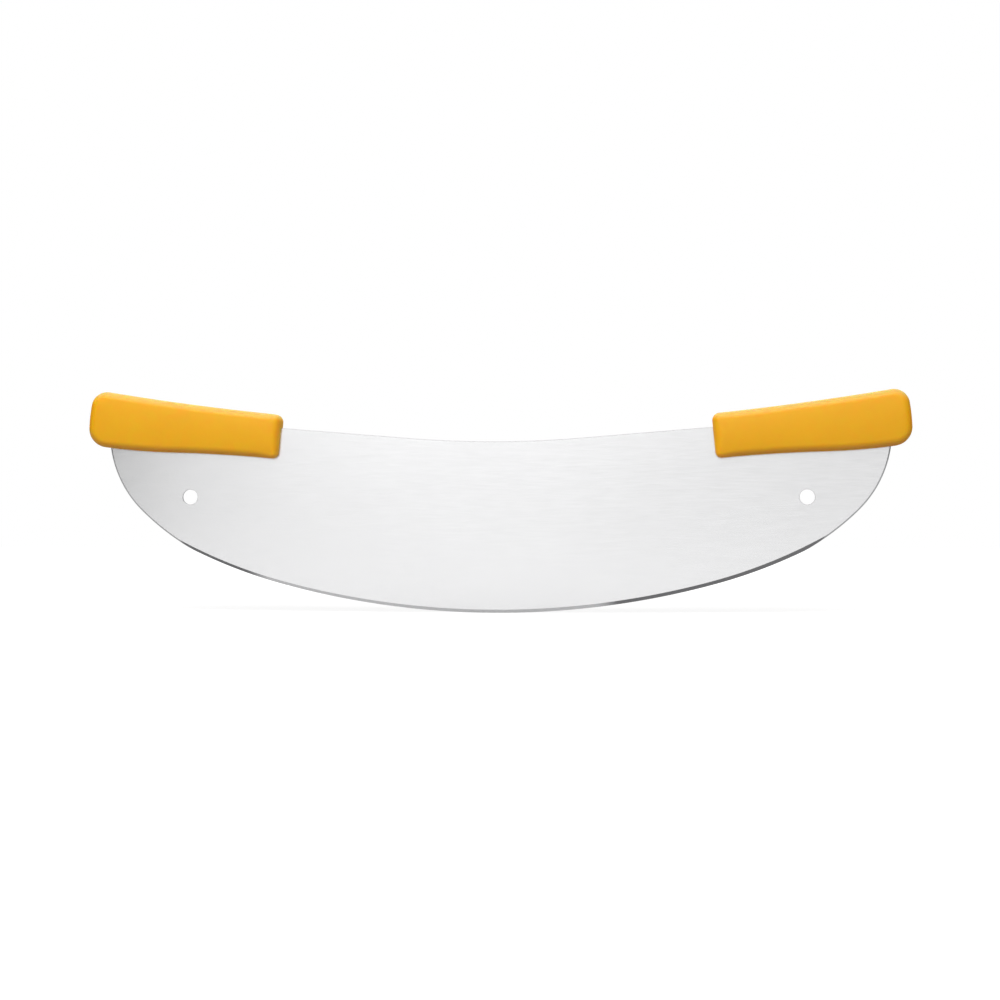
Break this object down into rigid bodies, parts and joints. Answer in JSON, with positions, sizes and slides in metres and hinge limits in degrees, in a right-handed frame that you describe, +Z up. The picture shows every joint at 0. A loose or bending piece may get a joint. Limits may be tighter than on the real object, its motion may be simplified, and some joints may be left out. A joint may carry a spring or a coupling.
{
  "type": "rocking pizza knife",
  "caption": "Long curved stainless blade ground along its belly, with a moulded plastic handle over each end and hang holes near the ends; rocks across a pizza to cut it.",
  "frame": {"origin": "lowest point of the cutting edge, at mid length and mid thickness, where the knife would touch a board when held upright and level", "axes": "+X along the blade towards the right handle, +Y through the blade's thickness away from the viewer of its front, +Z up from the edge towards the handles"},
  "size_m": [0.5084, 0.02, 0.1371],
  "materials": {
    "blade_steel": "stainless sheet with a fine satin grind, brighter along the ground edge",
    "handle_plastic": "warm yellow moulded plastic, smooth and satin"
  },
  "bodies": {
    "root": {"blade": "blade_steel", "handle_left": "handle_plastic", "handle_right": "handle_plastic"}
  },
  "joints": []
}
